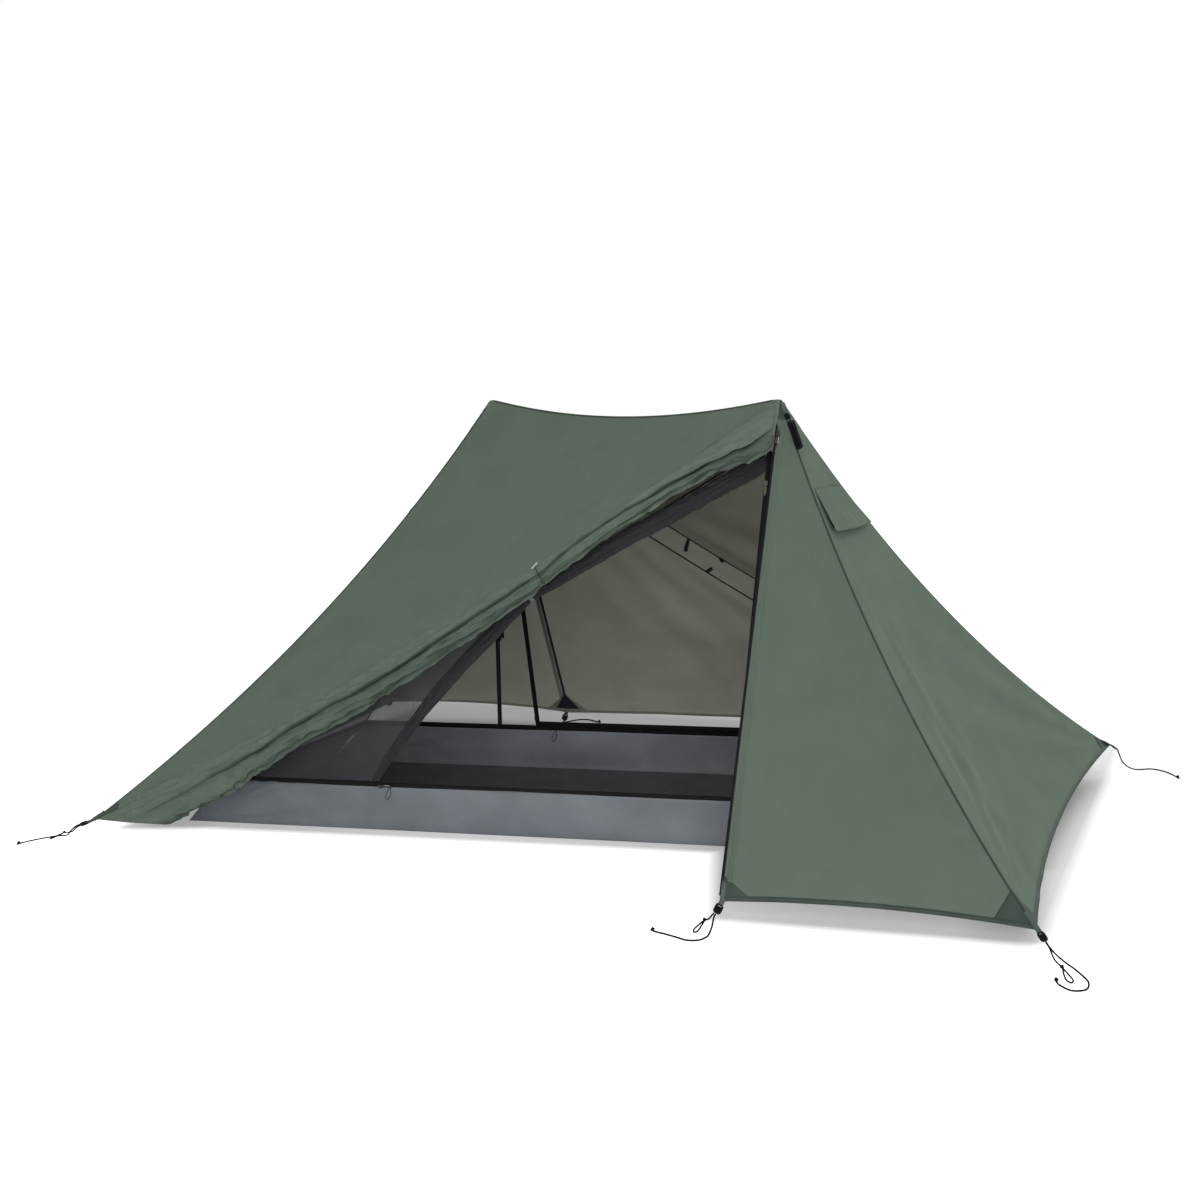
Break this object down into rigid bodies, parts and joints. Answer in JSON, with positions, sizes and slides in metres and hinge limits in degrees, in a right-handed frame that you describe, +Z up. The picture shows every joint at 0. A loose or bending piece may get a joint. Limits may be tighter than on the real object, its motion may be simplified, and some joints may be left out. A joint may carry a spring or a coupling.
{
  "type": "trekking pole tent",
  "caption": "Ridge tent held up by trekking poles: draped fly with a rolled-up door, mesh inner with a raised coated floor, zips, end vents and loose guylines.",
  "frame": {"origin": "on the ground, under the middle of the floor", "axes": "+X along the long side, towards the end with the right peak and front panel; +Y away from the rolled-up door; +Z up"},
  "size_m": [2.8885, 2.0093, 1.1679],
  "materials": {
    "fly_cloth": "coated woven cloth, satin",
    "mesh_cloth": "fine open mesh, matte",
    "floor_cloth": "coated woven cloth, satin",
    "black_plastic": "moulded, matte",
    "cord_black": "braided",
    "webbing": "flat woven webbing",
    "pole_metal": "dark satin tube",
    "grip_foam": "closed foam, matte"
  },
  "bodies": {
    "tent": {"fly_roof_front": "fly_cloth", "fly_roof_back": "fly_cloth", "fly_end_right": "fly_cloth", "fly_end_left": "fly_cloth", "fly_front_panel": "fly_cloth", "fly_back_panel": "fly_cloth", "fly_back_door": "fly_cloth", "fly_front_door_roll": "fly_cloth", "inner_roof_front": "mesh_cloth", "inner_roof_back": "mesh_cloth", "inner_end_right": "mesh_cloth", "inner_end_left": "mesh_cloth", "inner_front_left_mesh": "mesh_cloth", "inner_front_right_mesh": "mesh_cloth", "inner_back_right_mesh": "mesh_cloth", "inner_back_left_mesh": "mesh_cloth", "inner_back_door": "mesh_cloth", "inner_front_door_roll": "mesh_cloth", "inner_floor": "floor_cloth", "inner_wall_front": "floor_cloth", "inner_wall_back": "floor_cloth", "inner_wall_left": "floor_cloth", "inner_wall_right": "floor_cloth", "cord_front_left": "cord_black", "cord_front_right": "cord_black", "cord_back_right": "cord_black", "cord_front_door": "cord_black", "cord_back_door": "cord_black", "guyline_hank_right": "cord_black", "guyline_hank_left": "cord_black", "peak_cap_right": "webbing", "peak_cap_left": "webbing", "inner_hanger_right": "webbing", "inner_hanger_left": "webbing", "fly_roll_tie": "webbing", "inner_roll_tie": "webbing", "adjuster_front_left": "webbing", "adjuster_front_right": "webbing", "adjuster_back_right": "webbing", "adjuster_back_left": "webbing", "adjuster_front_door": "webbing", "adjuster_back_door": "webbing", "pole_right_upper_shaft": "pole_metal", "pole_left_upper_shaft": "pole_metal", "pole_right_grip": "grip_foam", "pole_left_grip": "grip_foam"},
    "fly_front_slider": {"fly_front_slider": "black_plastic"},
    "fly_back_slider": {"fly_back_slider": "black_plastic"},
    "inner_front_side_slider": {"inner_front_side_slider": "black_plastic"},
    "inner_front_sill_slider": {"inner_front_sill_slider": "black_plastic"},
    "inner_back_side_slider": {"inner_back_side_slider": "black_plastic"},
    "inner_back_sill_slider": {"inner_back_sill_slider": "black_plastic"},
    "vent_hood_right": {"vent_hood_right": "fly_cloth"},
    "vent_hood_left": {"vent_hood_left": "fly_cloth"},
    "vent_prop_right": {"vent_prop_right": "black_plastic"},
    "vent_prop_left": {"vent_prop_left": "black_plastic"},
    "pole_right_lock_lever": {"pole_right_lock_lever": "black_plastic"},
    "pole_left_lock_lever": {"pole_left_lock_lever": "black_plastic"},
    "pole_right_lower_shaft": {"pole_right_lower_shaft": "pole_metal"},
    "pole_left_lower_shaft": {"pole_left_lower_shaft": "pole_metal"}
  },
  "joints": [
    {"name": "pole_right_length", "type": "slide", "parent": "tent", "child": "pole_right_lower_shaft", "axis": [-0.0202, 0.0333, 0.9992], "range_m": [0, 0.33]},
    {"name": "pole_left_length", "type": "slide", "parent": "tent", "child": "pole_left_lower_shaft", "axis": [0.0202, -0.0333, 0.9992], "range_m": [0, 0.33]},
    {"name": "pole_right_lever", "type": "hinge", "parent": "tent", "child": "pole_right_lock_lever", "pos_m": [0.58121, -0.33588, 0.42051], "axis": [-0.0202, 0.0333, 0.9992], "range_deg": [0, 110]},
    {"name": "pole_left_lever", "type": "hinge", "parent": "tent", "child": "pole_left_lock_lever", "pos_m": [-0.58121, 0.33588, 0.42051], "axis": [0.0202, -0.0333, 0.9992], "range_deg": [0, 110]},
    {"name": "fly_front_zip", "type": "slide", "parent": "tent", "child": "fly_front_slider", "axis": [0.0317, -0.4921, -0.8699], "range_m": [0, 1]},
    {"name": "fly_back_zip", "type": "slide", "parent": "tent", "child": "fly_back_slider", "axis": [0.0311, -0.4815, 0.8759], "range_m": [0, 1]},
    {"name": "inner_front_side_zip", "type": "slide", "parent": "tent", "child": "inner_front_side_slider", "axis": [-0.0973, -0.0303, -0.9948], "range_m": [0, 0.75]},
    {"name": "inner_back_side_zip", "type": "slide", "parent": "tent", "child": "inner_back_side_slider", "axis": [-0.0973, -0.0303, 0.9948], "range_m": [0, 0.75]},
    {"name": "inner_front_sill_zip", "type": "slide", "parent": "tent", "child": "inner_front_sill_slider", "axis": [0.9852, 0.1714, 0], "range_m": [0, 0.9]},
    {"name": "inner_back_sill_zip", "type": "slide", "parent": "tent", "child": "inner_back_sill_slider", "axis": [0.9852, 0.1714, 0], "range_m": [0, 0.92]},
    {"name": "vent_right_hood", "type": "hinge", "parent": "tent", "child": "vent_hood_right", "pos_m": [0.66194, -0.24723, 0.94421], "axis": [-0.0365, -0.9991, 0.0235], "range_deg": [-5, 0]},
    {"name": "vent_left_hood", "type": "hinge", "parent": "tent", "child": "vent_hood_left", "pos_m": [-0.66096, 0.24786, 0.9438], "axis": [0.0351, 0.998, 0.0533], "range_deg": [-5, 0]},
    {"name": "vent_right_prop", "type": "hinge", "parent": "vent_hood_right", "child": "vent_prop_right", "pos_m": [0.72546, -0.22377, 0.85133], "axis": [-0.0365, -0.9991, 0.0235], "range_deg": [-24, 0]},
    {"name": "vent_left_prop", "type": "hinge", "parent": "vent_hood_left", "child": "vent_prop_left", "pos_m": [-0.72403, 0.22444, 0.85057], "axis": [0.0351, 0.998, 0.0533], "range_deg": [-24, 0]}
  ],
  "couplings": [
    {"joint": "vent_right_prop", "follows": "vent_right_hood", "ratio": 4.8},
    {"joint": "vent_left_prop", "follows": "vent_left_hood", "ratio": 4.8}
  ]
}
